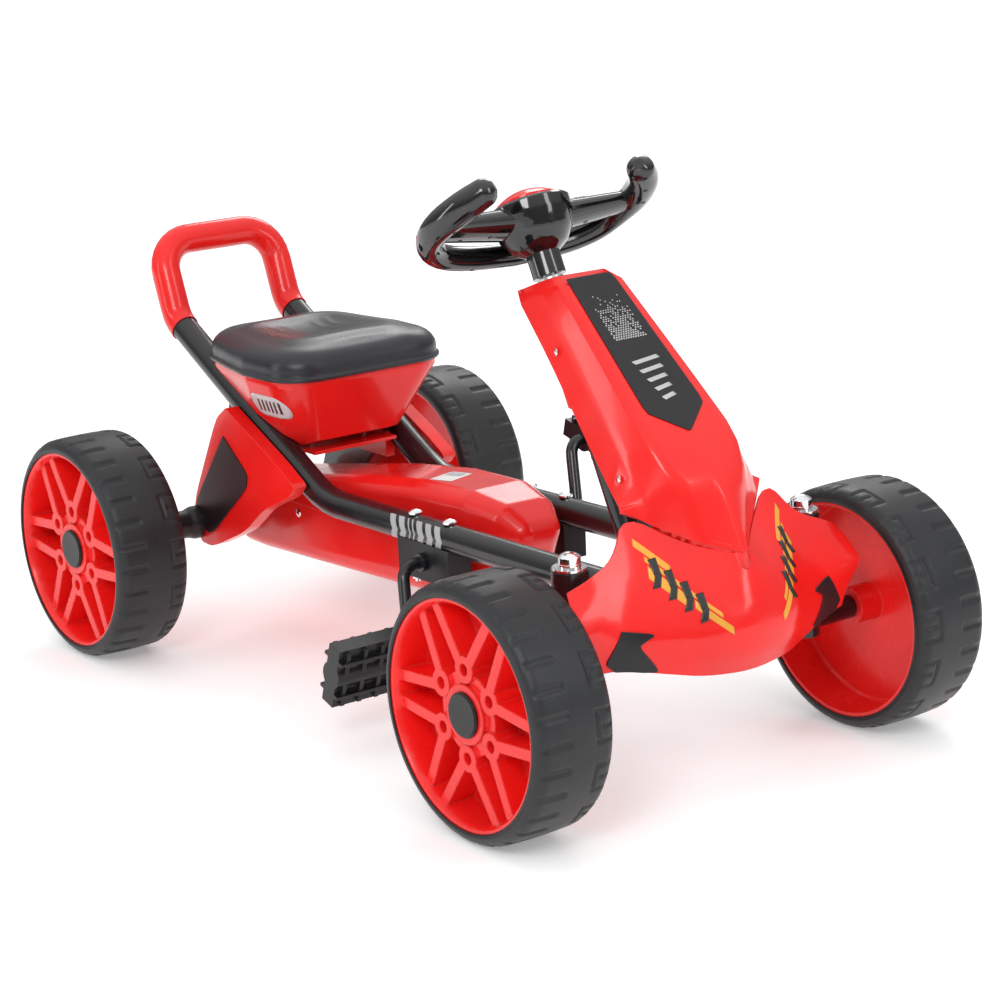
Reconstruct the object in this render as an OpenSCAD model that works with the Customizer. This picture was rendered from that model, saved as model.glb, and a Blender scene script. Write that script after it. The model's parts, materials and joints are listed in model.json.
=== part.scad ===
// Pedal go kart. The driver faces -Y, +X is the driver's left, Z = 0 is the floor.
// Places are measured from the middle of the front axle line or of the rear axle line.

/* [Overall] */
// distance between the front and rear axle lines
wheelbase = 634; // [500:2:780]
// distance between the middle planes of the left and right wheels
track = 392.5; // [320:0.5:480]

/* [Wheels] */
// outside diameter of the tyres
wheel_d = 210; // [180:1:252]
// width of a tyre
tyre_w = 73; // [60:1:88]
// diameter of the rim seat inside the tyre
rim_d = 187; // [150:1:200]
// diameter of the stub axles, of the rear axle and of the wheel bores
axle_d = 12; // [10:0.5:15]
// diameter of the push-in cap in the middle of a wheel
cap_d = 36; // [26:1:44]

/* [Frame] */
// outside diameter of the frame tubes
tube_d = 26; // [21:0.5:31]
// wall of the frame tubes
tube_wall = 1.5; // [1:0.1:2.5]
// distance between the middles of the two side tubes
rail_gap = 126; // [110:1:150]
// rise of the side tubes behind the seat, in degrees
rail_slope = 28; // [20:0.5:36]

/* [Steering] */
// diameter of the steering column
column_d = 14; // [10:0.5:17]
// lean of the column behind upright, in degrees
column_lean = 26; // [15:1:35]
// length of the column from its lower end to the steering wheel boss
column_l = 374; // [330:1:400]
// length of a knuckle's steering arm
knuckle_arm = 50; // [40:1:60]
// turn of a front wheel for each degree of the steering wheel
steer_ratio = 0.72; // [0.5:0.01:0.9]

/* [Drive] */
// diameter of the bent crank rod
crank_d = 11; // [9:0.5:14]
// distance from the crank's axis to a pedal's axis
crank_arm = 75; // [60:1:90]
// teeth on the crank's sprocket
front_teeth = 18; // [14:1:20]
// teeth on the rear axle's sprocket
rear_teeth = 10; // [9:1:12]

/* [Panels] */
// wall of the moulded panels
wall = 3; // [2:0.25:4]

/* [Hidden] */
$fn = 72;
fit = 0.05;              // radial clearance of a turning joint
gap = 0.5;               // gap between fixed panels
hole_gap = 0.2;          // radial clearance round a screw
roll = 0.4;              // side gap beside a turning piece
chain_pitch = 12.7;
bar_sides = 32;           // facets round a bent bar
bend_step = 12;           // degrees of bend between two facets
hub_z = wheel_d / 2;
front = [0, -wheelbase / 2, hub_z];
rear = [0, wheelbase / 2, hub_z];
rail_x = rail_gap / 2;
tube_r = tube_d / 2;
wheel_x = track / 2;
wheel_in = wheel_x - tyre_w / 2;
kingpin_x = wheel_in - 38.75;
beam_h = 63;             // height of the front beam's middle above the axle
pin_d = 14;              // kingpin
RED = "#e8322c";
SATIN = "#1c1c1e";
GLOSS = "#141416";
STEEL = "#c8cacc";
GREY = "#3a3b3e";

// The side tube's middle line, from the front beam to the top of the rear slope.
rail_front = front + [rail_x, tube_r - 1, beam_h];
rail_bend = rear + [rail_x, -193, 52.5];
rail_run = 287;          // from the front bend up to the hoop's bend
rail_top = rail_bend + rail_run * [0, cos(rail_slope), sin(rail_slope)];
hoop_corner = rail_top + [0, 28, 73];
hoop_dir = unit(hoop_corner - rail_top);
rail_path = [rail_front, rail_bend, rail_top, rail_top + 42 * hoop_dir];
bend_r = [0, 95, 30, 0];

// The crank turns under the side tubes.
crank_c = front + [0, 270.5, 33];
crank_lean = 20;         // the pedals stand this far round from upright at rest

// The column's lower end and the directions along and across the steering wheel.
col_foot = front + [0, 30, -5];
col_dir = [0, sin(column_lean), cos(column_lean)];

// ---------- helpers ----------

function unit(v) = v / norm(v);
function flip_x(p) = [-p[0], p[1], p[2]];
function last(p) = p[len(p) - 1];

// Cuts the inner corners of a line of points, or of a list of rows, n times.
function soften(p, k, n) = n == 0 ? p : soften(
  concat([p[0]],
    [for (i = [1:len(p) - 2]) each [p[i] + (p[i - 1] - p[i]) * k, p[i] + (p[i + 1] - p[i]) * k]],
    [last(p)]), k, n - 1);

// A row from the middle out to one side becomes a row from side to side.
function both_sides(row) =
  concat([for (i = [len(row) - 1:-1:1]) flip_x(row[i])], row);

// Puts its children at p with their Z along v.
module aim(p, v) {
  u = unit(v);
  side = abs(u[2]) > 0.999 ? [1, 0, 0] : unit(cross([0, 0, 1], u));
  w = cross(u, side);
  multmatrix([[side[0], w[0], u[0], p[0]], [side[1], w[1], u[1], p[1]],
    [side[2], w[2], u[2], p[2]], [0, 0, 0, 1]]) children();
}

module rod(a, b, d) {
  aim(a, b - a) cylinder(d = d, h = norm(b - a));
}

// Points along a line whose corners are rounded, each at its own radius.
function rounded(pts, r) = let (
  dir = [for (i = [0:len(pts) - 2]) unit(pts[i + 1] - pts[i])])
  [pts[0], for (i = [1:len(pts) - 2]) each let (
    turn = acos(dir[i - 1] * dir[i]),
    a = pts[i] - dir[i - 1] * r[i] * tan(turn / 2),
    inward = unit(dir[i] - dir[i - 1] * (dir[i] * dir[i - 1])),
    steps = max(2, ceil(turn / bend_step)))
    [for (k = [0:steps]) a + r[i] * (sin(turn * k / steps) * dir[i - 1]
      + (1 - cos(turn * k / steps)) * inward)],
    last(pts)];

// A round bar along the points, bent at one radius or at a radius for each point.
module bar(pts, d, radius) {
  line = rounded(pts, is_list(radius) ? radius : [for (p = pts) radius]);
  sweep(line, [for (p = line) d / 2], bar_sides);
}

// Unit normals of a grid of points, to the side that cross(row, column) faces.
function grid_normal(g, i, j) = let (
  a = g[min(i + 1, len(g) - 1)][j] - g[max(i - 1, 0)][j],
  b = g[i][min(j + 1, len(g[0]) - 1)] - g[i][max(j - 1, 0)]) unit(cross(b, a));

// A curved sheet between two offsets from a grid of points. Positive is outside.
module sheet(g, outer, inner) {
  rows = len(g);
  cols = len(g[0]);
  skin = function (off) [for (i = [0:rows - 1], j = [0:cols - 1]) g[i][j] + grid_normal(g, i, j) * off];
  n = rows * cols;
  at = function (i, j) i * cols + j;
  top = [for (i = [0:rows - 2], j = [0:cols - 2]) each
    [[at(i, j), at(i + 1, j + 1), at(i, j + 1)], [at(i, j), at(i + 1, j), at(i + 1, j + 1)]]];
  edge = concat([for (j = [0:cols - 1]) at(0, j)], [for (i = [1:rows - 1]) at(i, cols - 1)],
    [for (j = [cols - 2:-1:0]) at(rows - 1, j)], [for (i = [rows - 2:-1:1]) at(i, 0)]);
  m = len(edge);
  polyhedron(points = concat(skin(outer), skin(inner)), faces = concat(
    top, [for (f = top) [f[2] + n, f[1] + n, f[0] + n]],
    [for (k = [0:m - 1]) each let (a = edge[k], b = edge[(k + 1) % m])
      [[a, b + n, a + n], [a, b, b + n]]]));
}

// A tube of changing radius along the points.
module sweep(pts, radii, sides) {
  n = len(pts);
  tangent = [for (i = [0:n - 1]) unit(pts[min(i + 1, n - 1)] - pts[max(i - 1, 0)])];
  ring = [for (i = [0:n - 1]) let (s = unit(cross(tangent[i], [0, 0, 1])), w = cross(s, tangent[i]))
    [for (k = [0:sides - 1]) pts[i] + radii[i] * (cos(k * 360 / sides) * s + sin(k * 360 / sides) * w)]];
  polyhedron(points = [for (r = ring) each r], faces = concat(
    [[for (k = [sides - 1:-1:0]) k]], [[for (k = [0:sides - 1]) (n - 1) * sides + k]],
    [for (i = [0:n - 2], k = [0:sides - 1]) let (q = (k + 1) % sides)
      [i * sides + q, (i + 1) * sides + q, (i + 1) * sides + k, i * sides + k]]));
}

module screw_head(d, h) {
  intersection() {
    cylinder(d = d, h = h);
    translate([0, 0, h - d * 0.8]) sphere(r = d * 0.8);
  }
}

// A domed screw with its head's underside at the origin, pointing down.
module screw(d, head_d, head_h, length) {
  translate([0, 0, -length]) cylinder(d = d, h = length);
  screw_head(head_d, head_h);
}

module hex_nut(across, h, bore) {
  difference() {
    cylinder(d = across / cos(30), h = h, $fn = 6);
    translate([0, 0, -1]) cylinder(d = bore, h = h + 2);
  }
}

// Its children, and their mirror image on the other side.
module both() {
  children();
  mirror([1, 0, 0]) children();
}

// ---------- frame ----------

screw_y = 26;            // the block screws stand this far before and behind the crank
screw_d = 6;

function rail_z(y) = rail_front[2] + (rail_bend[2] - rail_front[2]) * (y - rail_front[1])
  / (rail_bend[1] - rail_front[1]);

module rail() {
  difference() {
    bar(rail_path, tube_d, bend_r);
    bar([rail_front - (rail_bend - rail_front) * 0.05, rail_bend, rail_top, rail_top + 44 * hoop_dir],
      tube_d - 2 * tube_wall, bend_r);
    translate([rail_x - 30, front[1], front[2] + beam_h]) rotate([0, 90, 0]) cylinder(r = tube_r + 0.02, h = 60);
    for (s = [-1, 1]) translate([rail_x, crank_c[1] + s * screw_y, crank_c[2] - 20])
      cylinder(r = screw_d / 2 + hole_gap, h = 80);
  }
}

// Room for the tube's straight stretches, in the pieces that are fixed to it.
module rail_room() {
  rod(rail_front, rail_bend, tube_d + 0.04);
  rod(rail_bend, rail_top, tube_d + 0.04);
}

module rail_left() {
  color(SATIN) rail();
}

module rail_right() {
  color(SATIN) mirror([1, 0, 0]) rail();
}

barrel_r = 15;
barrel_h = 46;
barrel_z = hub_z + 48;

// Cross tube with an upright barrel for each kingpin.
module front_beam() {
  color(SATIN) difference() {
    union() {
      translate([-kingpin_x, front[1], front[2] + beam_h]) rotate([0, 90, 0])
        cylinder(r = tube_r, h = 2 * kingpin_x);
      for (s = [-1, 1]) translate([s * kingpin_x, front[1], barrel_z]) cylinder(r = barrel_r, h = barrel_h);
    }
    for (s = [-1, 1]) translate([s * kingpin_x, front[1], barrel_z - 1])
      cylinder(r = pin_d / 2 + fit, h = barrel_h + 2);
  }
}

head_low = 34;           // the head tube's ends, along the column from its foot
head_high = 318;
head_r = 12.7;
bush_h = 14;

module on_column(s) {
  aim(col_foot + col_dir * s, col_dir) children();
}

// Tube that carries the column, with a web down to the front beam.
module head_tube() {
  web = 6;
  y_low = front[1] + tube_r + 1;
  color(SATIN) difference() {
    union() {
      on_column(head_low) cylinder(r = head_r, h = head_high - head_low);
      translate([-web / 2, 0, 0]) rotate([90, 0, 90]) linear_extrude(web) polygon([
        [front[1], front[2] + beam_h - 8], [front[1], front[2] + beam_h + 8],
        [front[1] + 84, front[2] + beam_h + 54], [front[1] + 52, front[2] + beam_h - 20]]);
      translate([0, front[1], front[2] + beam_h]) rotate([0, 90, 0]) translate([0, 0, -18])
        cylinder(r = tube_r + 3, h = 36);
    }
    on_column(head_low - 20) cylinder(r = head_r - 2, h = head_high);
    translate([-30, front[1], front[2] + beam_h]) rotate([0, 90, 0]) cylinder(r = tube_r + 0.02, h = 60);
    translate([-40, front[1] - 40, 0]) cube([80, 40, 400]);
  }
}

module column_bushes() {
  color(GREY) for (s = [head_low, head_high - bush_h]) on_column(s) difference() {
    cylinder(r = head_r - 2, h = bush_h);
    translate([0, 0, -1]) cylinder(r = column_d / 2 + fit, h = bush_h + 2);
  }
}

bush_r = axle_d / 2 + 4;
bracket_t = 5;

// Plates from the sloping tubes down to the rear axle.
module rear_brackets() {
  color(SATIN) both() difference() {
    union() {
      translate([rail_x - bracket_t / 2, 0, 0]) rotate([90, 0, 90]) linear_extrude(bracket_t) polygon([
        [rear[1] - 108, hub_z + 82], [rear[1] - 34, hub_z + 124], [rear[1] + 17, hub_z + 6],
        [rear[1] - 12, hub_z - 16]]);
      translate([rail_x - bracket_t / 2, rear[1], rear[2]]) rotate([0, 90, 0]) cylinder(r = 20, h = bracket_t);
    }
    translate([rail_x - 20, rear[1], rear[2]]) rotate([0, 90, 0]) cylinder(r = bush_r, h = 40);
    rail_room();
  }
}

module axle_bushes() {
  color(GREY) both() translate([rail_x - 8, rear[1], rear[2]]) rotate([0, 90, 0]) difference() {
    union() {
      cylinder(r = bush_r, h = 16);
      cylinder(r = bush_r + 3, h = 8 - bracket_t / 2);
    }
    translate([0, 0, -1]) cylinder(r = axle_d / 2 + fit, h = 18);
  }
}

hoop_wall = 1.2;
hoop_start = rail_top - 14 * [0, cos(rail_slope), sin(rail_slope)];

// Moulded push handle, a hollow loop that slips over the two tube ends.
module push_hoop() {
  path = [hoop_start, rail_top, hoop_corner];
  color(RED) difference() {
    bar(concat(path, [flip_x(hoop_corner), flip_x(rail_top), flip_x(hoop_start)]),
      tube_d + 2 * hoop_wall, [0, 30, 32, 32, 30, 0]);
    both() bar([hoop_start - 4 * [0, cos(rail_slope), sin(rail_slope)], rail_top, rail_top + 46 * hoop_dir],
      tube_d + 0.04, 30);
  }
}

// ---------- crank drive ----------

block_w = 24;
block_l = 76;
block_low = 17;

// Bearing blocks that hang the crank under the side tubes.
module crank_blocks() {
  color(GREY) both() difference() {
    translate([rail_x - block_w / 2, crank_c[1] - block_l / 2, crank_c[2] - block_low])
      cube([block_w, block_l, rail_z(crank_c[1]) - tube_r + 6 - crank_c[2] + block_low]);
    rail_room();
    translate([rail_x - 20, crank_c[1], crank_c[2]]) rotate([0, 90, 0]) cylinder(r = crank_d / 2 + fit, h = 40);
    for (s = [-1, 1]) translate([rail_x, crank_c[1] + s * screw_y, crank_c[2] - 30])
      cylinder(r = screw_d / 2 + hole_gap, h = 80);
  }
}

module block_screws() {
  color(STEEL) both() for (s = [-1, 1]) translate([rail_x, crank_c[1] + s * screw_y, 0]) {
    top = rail_z(crank_c[1] + s * screw_y) + tube_r + 0.4;
    translate([0, 0, top]) screw(screw_d, 13, 4, top - crank_c[2] + block_low + 8);
  }
}

module block_nuts() {
  color(STEEL) both() for (s = [-1, 1])
    translate([rail_x, crank_c[1] + s * screw_y, crank_c[2] - block_low - 5.05]) hex_nut(10, 5, screw_d + 0.1);
}

front_pitch_r = chain_pitch / (2 * sin(180 / front_teeth));
rear_pitch_r = chain_pitch / (2 * sin(180 / rear_teeth));
roller_r = 3.9;
sprocket_t = 2.6;

// A toothed disc whose gaps hold the chain's rollers. turn sets where the first gap is.
module sprocket(teeth, pitch_r, bore, turn) {
  rotate([0, 90, 0]) translate([0, 0, -sprocket_t / 2]) difference() {
    union() {
      cylinder(r = pitch_r + 3, h = sprocket_t);
      translate([0, 0, -5]) cylinder(r = bore + 6, h = sprocket_t + 10);
    }
    for (k = [0:teeth - 1]) rotate([0, 0, turn + k * 360 / teeth])
      translate([pitch_r, 0, -1]) cylinder(r = roller_r + 0.25, h = sprocket_t + 2, $fn = 24);
    translate([0, 0, -10]) cylinder(r = bore, h = sprocket_t + 20);
  }
}

// The chain runs in the plane x = 0 between the two sprockets.
chain_span = [rear[1] - crank_c[1], rear[2] - crank_c[2]];
chain_l = norm(chain_span);
chain_tilt = atan2(chain_span[1], chain_span[0]);
wrap = acos((front_pitch_r - rear_pitch_r) / chain_l); // from the centre line to a contact

module at_crank() {
  translate(crank_c) rotate([chain_tilt, 0, 0]) children();
}

module front_sprocket() {
  color(STEEL) at_crank() sprocket(front_teeth, front_pitch_r, crank_d / 2 + 0.01, 90 - wrap);
}

module rear_sprocket() {
  color(STEEL) translate(rear) rotate([chain_tilt, 0, 0])
    sprocket(rear_teeth, rear_pitch_r, axle_d / 2 + 0.01, 90 - wrap);
}

// The outline of a band round both sprockets, off from the pitch line.
function band(off) = concat(
  [for (a = [wrap:6:360 - wrap]) (front_pitch_r + off) * [cos(a), sin(a)]],
  [(front_pitch_r + off) * [cos(-wrap), sin(-wrap)]],
  [for (a = [-wrap:6:wrap]) [chain_l, 0] + (rear_pitch_r + off) * [cos(a), sin(a)]],
  [[chain_l, 0] + (rear_pitch_r + off) * [cos(wrap), sin(wrap)]]);

// Side plates all the way round, and rollers on the two straight runs.
module chain() {
  plate = 1.2;
  half = sprocket_t / 2 + 0.5;
  a = [front_pitch_r * cos(wrap), front_pitch_r * sin(wrap)];
  b = [chain_l + rear_pitch_r * cos(wrap), rear_pitch_r * sin(wrap)];
  links = floor(norm(b - a) / chain_pitch);
  run = [for (i = [2:links - 2]) a + (b - a) * i / links];
  places = concat(run, [for (p = run) [p[0], -p[1]]]);
  color(GREY) at_crank() rotate([90, 0, 90]) {
    for (s = [-1, 1]) translate([0, 0, s > 0 ? half : -half - plate]) linear_extrude(plate) difference() {
      polygon(band(4));
      polygon(band(-4));
    }
    for (p = places) translate([p[0], p[1], -half - 0.2]) cylinder(r = 3, h = 2 * half + 0.4, $fn = 24);
  }
}

crank_out = block_w / 2 + roll; // collars beside the blocks
pedal_in = rail_x + 47;
pedal_out = rail_x + 127;
pedal_c = [pedal_in, crank_arm * sin(crank_lean), crank_arm * cos(crank_lean)];

// Bent rod: right pedal low and forward, left pedal high and back, as it stands at rest.
module crank_rod() {
  left = crank_c + pedal_c;
  right = crank_c - pedal_c;
  elbow = [rail_x + 34, 0, 0];
  color(GLOSS) {
    bar([right - [pedal_out - pedal_in - 6, 0, 0], right, crank_c - elbow, crank_c + elbow, left,
      left + [pedal_out - pedal_in - 6, 0, 0]], crank_d, 15);
    for (s = [-1, 1]) translate(crank_c + [s * (rail_x + crank_out + 2) - 2, 0, 0])
      rotate([0, 90, 0]) cylinder(d = crank_d + 5, h = 4);
  }
}

pedal_t = 26;
pedal_l = 56;

// Ribbed foot block that turns on the end of the crank rod.
module pedal() {
  w = pedal_out - pedal_in - 12;
  translate([pedal_in + 14, 0, 0]) difference() {
    union() {
      translate([0, -pedal_l / 2, -pedal_t / 2 + 5]) cube([w, pedal_l, pedal_t - 10]);
      for (s = [-1, 1]) translate([0, s * (pedal_l / 2 - 13), -pedal_t / 2]) translate([0, s > 0 ? 0 : -3, 0])
        cube([w, 3, pedal_t]);
      for (i = [0:3]) translate([6 + i * (w - 16) / 3, -pedal_l / 2 + 2, -pedal_t / 2 + 1.5])
        cube([4, pedal_l - 4, pedal_t - 3]);
      rotate([0, 90, 0]) cylinder(d = pedal_t - 2, h = w);
    }
    translate([-1, 0, 0]) rotate([0, 90, 0]) cylinder(r = crank_d / 2 + fit, h = w - 3);
  }
}

pedal_tilt = 72;         // the pedals hang this far from level at rest

module pedal_left() {
  color(GREY) translate([0, crank_c[1] + pedal_c[1], crank_c[2] + pedal_c[2]]) rotate([14, 0, 0]) pedal();
}

module pedal_right() {
  color(GREY) translate([0, crank_c[1] - pedal_c[1], crank_c[2] - pedal_c[2]])
    rotate([0, 0, 180]) rotate([pedal_tilt, 0, 0]) pedal();
}

// ---------- chain case ----------

case_w = 86;
case_round = 17;
case_split = 30;         // height of the joint between the halves above the axle line

// The case as a rounded body, shrunk all round by off.
module case_body(off) {
  r = case_round - off;
  hull() both() {
    for (p = [[212, 58, 10], [226, 67, 16], [260, 73, 22], [332, 70, 25], [421, 58, 26], [250, 4, 24], [370, 4, 26]])
      translate([p[2], front[1] + p[0], hub_z + p[1]]) sphere(r = r, $fn = 32);
    for (p = [[-71, -5], [-37, -14], [-6, -14], [10, -8], [14, 4], [8, 18]])
      translate([26, rear[1] + p[0], hub_z + p[1]]) sphere(r = r, $fn = 32);
  }
}

module case_half(low, high) {
  intersection() {
    difference() {
      case_body(0);
      case_body(wall);
      translate([-80, crank_c[1], crank_c[2]]) rotate([0, 90, 0]) cylinder(r = crank_d / 2 + 2, h = 160);
      translate([-80, rear[1], rear[2]]) rotate([0, 90, 0]) cylinder(r = axle_d / 2 + 2, h = 160);
    }
    translate([-100, front[1], hub_z + low]) cube([200, wheelbase + 100, high - low]);
  }
}

module chain_case_upper() {
  color(RED) case_half(case_split, 150);
}

module chain_case_lower() {
  color(RED) case_half(-100, case_split - 0.1);
}

module case_screws() {
  both() for (y = [front[1] + 332, rear[1] - 110, rear[1] - 60])
    translate([43.1, y, hub_z + case_split - 9]) rotate([0, 90, 0]) screw_head(8, 2);
}

// ---------- rear pods ----------

pod_line = [[-67, 124], [-48, 111], [6, 17], [-3, -19], [-26, -20], [-88, 7], [-126, 36], [-171, 56],
  [-184, 68], [-153, 85]];
pod_in = tube_r + 1;     // the pods stand just outside the side tubes
pod_out = 28;

// Moulded cover beside the side tube and round the axle, open toward the middle.
module pod() {
  difference() {
    translate([rail_x + pod_in, rear[1], rear[2]]) rotate([90, 0, 90]) difference() {
      linear_extrude(pod_out - pod_in) polygon(soften(concat(pod_line, [pod_line[0]]), 0.14, 2));
      translate([0, 0, -1]) linear_extrude(pod_out - pod_in - wall + 1) offset(delta = -wall)
        polygon(soften(concat(pod_line, [pod_line[0]]), 0.14, 2));
    }
    translate([rail_x, rear[1], rear[2]]) rotate([0, 90, 0]) cylinder(r = axle_d / 2 + 2, h = 80);
  }
}

module pod_left() {
  color(RED) pod();
}

module pod_right() {
  color(RED) mirror([1, 0, 0]) pod();
}

pod_panel = [[-61, 96], [-101, 66], [-98, 52], [-24, -10], [3, 15]];

module pod_inserts() {
  color(GREY) both() difference() {
    translate([rail_x + pod_out + 0.02, rear[1], rear[2]]) rotate([90, 0, 90])
      linear_extrude(1.6) polygon(soften(concat(pod_panel, [pod_panel[0]]), 0.12, 2));
    translate([rail_x, rear[1], rear[2]]) rotate([0, 90, 0]) cylinder(r = 16, h = 80);
  }
}

// Flared tube on the rear axle between a pod and a wheel.
module axle_sleeves() {
  x0 = rail_x + pod_out + 0.3;
  x1 = wheel_x + hub_in - 2.5;
  color(GREY) both() translate([0, rear[1], rear[2]]) rotate([0, 90, 0]) rotate_extrude() polygon([
    [axle_d / 2 + fit, x0], [16, x0], [16, x0 + 6], [13.5, x0 + 14], [13.5, x1 - 20], [15, x1 - 12], [15, x1],
    [axle_d / 2 + fit, x1]]);
}

// ---------- seat ----------

// Middles and radii of the rounded corners of the seat's outline, on one side.
seat_round = [[54, -146, 40], [58, -112, 38], [38, -41, 44]];
seat_z = hub_z + 163;    // underside of the pad's lip

module seat_disc(z, h, inset) {
  for (c = seat_round) translate([c[0], rear[1] + c[1], z]) cylinder(r = c[2] - inset, h = h, $fn = 48);
}

// Crowned pad with a thin lip that overhangs the tub.
module seat_pad() {
  color(GREY) difference() {
    hull() both() {
      seat_disc(seat_z, 3, 0.8);
      seat_disc(seat_z + 1, 1.5, 0);
      seat_disc(seat_z + 13, 1, 2);
      seat_disc(seat_z + 21, 1, 6);
      seat_disc(seat_z + 27, 1, 13);
      translate([0, 6, 0]) seat_disc(seat_z + 30, 0.5, 22);
    }
    both() rod(rail_bend, rail_top, tube_d + 2 * gap);
  }
}

// The space that the side tube takes out of the tub, with everything beside and below it.
module tub_cut(grow) {
  r = tube_r + gap + grow;
  slope = [0, cos(rail_slope), sin(rail_slope)];
  a = rail_bend - 60 * slope + r * [0, -sin(rail_slope), cos(rail_slope)];
  b = rail_top + 40 * slope + r * [0, -sin(rail_slope), cos(rail_slope)];
  translate([rail_x - bracket_t / 2 - gap - grow, 0, 0]) rotate([90, 0, 90]) linear_extrude(80)
    polygon([[a[1], a[2]], [b[1], b[2]], [b[1], 0], [a[1], 0]]);
  rod(rail_bend - 60 * slope, rail_top + 40 * slope, 2 * r);
}

module tub_body(off) {
  hull() both() {
    seat_disc(seat_z - 6, 5.9 - off, 4 + off);
    for (p = [[36, -141, 100], [42, -118, 92], [42, -84, 92], [34, -56, 104]])
      translate([p[0], rear[1] + p[1], hub_z + p[2]]) cylinder(r = 16 - off, h = 1, $fn = 48);
  }
}

seat_screw_at = [for (x = [-30, 30], y = [-118, -80]) [x, rear[1] + y]];

// Moulded tub between and over the side tubes, open at the top under the pad.
module seat_tub() {
  color(RED) difference() {
    tub_body(0);
    difference() {
      translate([0, 0, wall]) tub_body(wall);
      both() tub_cut(wall);
    }
    both() tub_cut(0);
    for (p = seat_screw_at) translate([p[0], p[1], hub_z + 60]) cylinder(r = 2.7, h = 60);
  }
}

// Steel strap that lies across the side tubes and carries the tub.
module seat_bracket() {
  z = hub_z + 88;
  color(RED) difference() {
    union() {
      translate([-46, rear[1] - 150, z - 3]) cube([92, 102, 3]);
      both() translate([rail_x - tube_r - 5, rear[1] - 132, z - 24]) cube([10, 76, 24]);
    }
    both() rail_room();
    for (p = seat_screw_at) translate([p[0], p[1], z - 10]) cylinder(r = 2.7, h = 60);
  }
}

module seat_screws() {
  for (p = seat_screw_at) translate([p[0], p[1], hub_z + 92 + wall + 0.1]) screw(5, 11, 3, 16);
}

// ---------- steering console ----------

function col_y(z) = col_foot[1] + (z - col_foot[2]) * tan(column_lean);

// Rows from the top of the console down to the nose. Each runs from the middle of the
// front face over the front edge and the side to the rear edge.
console_rows = [for (row = [
  [[0, 158, 289], [9, 159, 288], [16, 166, 284], [18, 176, 279]],
  [[0, 123.5, 296.5], [30.5, 123.5, 296.5], [39, 143, 289], [45, 162, 281]],
  [[0, 78.5, 257.2], [35, 78.5, 257.2], [44, 95, 246], [50.5, 111, 233]],
  [[0, 33.5, 217.9], [39, 33.5, 217.9], [49, 52, 206], [56, 70, 191]],
  [[0, -11, 179], [42, -11, 179], [54, 4, 163], [63, 20, 142]],
  [[0, -43, 151], [32, -33, 150], [54, -16, 143], [69, 3, 134.5]],
  [[0, -72, 97.5], [26, -44, 104.5], [55, -20, 120.5], [72, -5, 132.5]]])
  [for (p = row) front + p]];

module console_skin(outer, inner) {
  grid = soften([for (row = console_rows) both_sides(row)], 0.2, 1);
  sheet([for (row = grid) let (r = soften(row, 0.12, 2)) [for (i = [len(r) - 1:-1:0]) r[i]]],
    outer, inner);
}

module console_shell() {
  color(RED) difference() {
    console_skin(0, -wall);
    on_column(0) cylinder(r = head_r + 0.6, h = column_l);
    at_console_screws() translate([0, 0, -0.02]) cylinder(d = console_screw_d + 0.04, h = 6);
  }
}

back_drop = 8;           // the bulge ends this far below the console's top corner

// Rear cover that bulges round the head tube.
module console_back() {
  inset = wall + gap;
  bulge = head_r + 4.5;
  rows = [for (i = [1:3]) let (
    p = console_rows[i][3] - [inset, 1, 0], mid = col_y(p[2]), lift = (p[1] - mid) * 0.8)
    concat([for (a = [0:22:88]) [bulge * sin(a), mid + bulge * cos(a), p[2] - back_drop]],
      [[bulge + 5, mid + lift / 3 - 3, p[2] - back_drop / 2], [(bulge + p[0]) / 2 + 4, (mid + lift + p[1]) / 2, p[2]], p])];
  fine = [for (r = rows) both_sides(r)];
  color(RED) difference() {
    sheet(fine, 0, -2.4);
    on_column(0) cylinder(r = head_r + 0.6, h = column_l);
    console_skin(1, -wall - 0.2);
  }
}

panel_t = 1;             // decorative plate

// Thin plate on the console's front face.
module console_panel() {
  a = console_rows[1][0];
  down = unit(console_rows[4][0] - a);
  line = [[-23, 5], [23, 5], [29.5, 146], [0, 171], [-29.5, 146]];
  color(SATIN) multmatrix([[1, 0, 0, a[0]], [0, down[1], down[2], a[1]], [0, down[2], -down[1], a[2]], [0, 0, 0, 1]])
    translate([0, 0, 0.05]) linear_extrude(panel_t) polygon(soften(concat(line, [line[0]]), 0.05, 2));
}

screw_rows = [2, 4];      // the rows that have a screw each side

console_screw_d = 7;

module at_console_screws() {
  both() for (i = screw_rows) {
    p = (console_rows[i][3] + console_rows[i][2]) / 2;
    aim(p + [0.9, 0, 0], [1, 0.5, 0]) children();
  }
}

// The small screws that hold the seat tub, the console and the chain case.
module panel_screws() {
  color(STEEL) {
    case_screws();
    seat_screws();
    at_console_screws() screw_head(console_screw_d, 2);
  }
}

// ---------- nose ----------

// Rows from the middle out to a wing tip. Each runs from the top edge to the bottom edge.
nose_rows = [for (row = [
  [[0, -73, 95], [0, -81, 75], [0, -87, 53], [0, -89, 39], [0, -85, 20], [0, -75, 2]],
  [[34, -36, 104], [40, -60, 80], [43, -74, 60], [44, -82, 40], [44, -79, 22], [43, -69, 5]],
  [[74, -9, 131], [76, -28, 100], [75, -45, 75], [76, -61, 46], [76, -63, 27], [76, -57, 12]],
  [[95, -23, 102], [98, -32, 87], [100, -41, 67], [101, -49, 46], [101, -51, 32], [101, -50, 18]],
  [[124, -26, 91], [125, -34, 77], [124, -42, 60], [120, -45, 46], [118, -45, 34], [117, -45, 20]],
  [[140, -20, 83], [145, -33, 70], [146, -45, 57], [138, -44, 46], [132, -42, 34], [127.6, -41, 20]]])
  [for (p = row) front + p]];

nose_grid = let (
  full = concat([for (i = [5:-1:1]) [for (p = nose_rows[i]) flip_x(p)]], nose_rows),
  fine = soften(full, 0.22, 2)) [for (row = fine) soften(row, 0.2, 2)];

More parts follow.
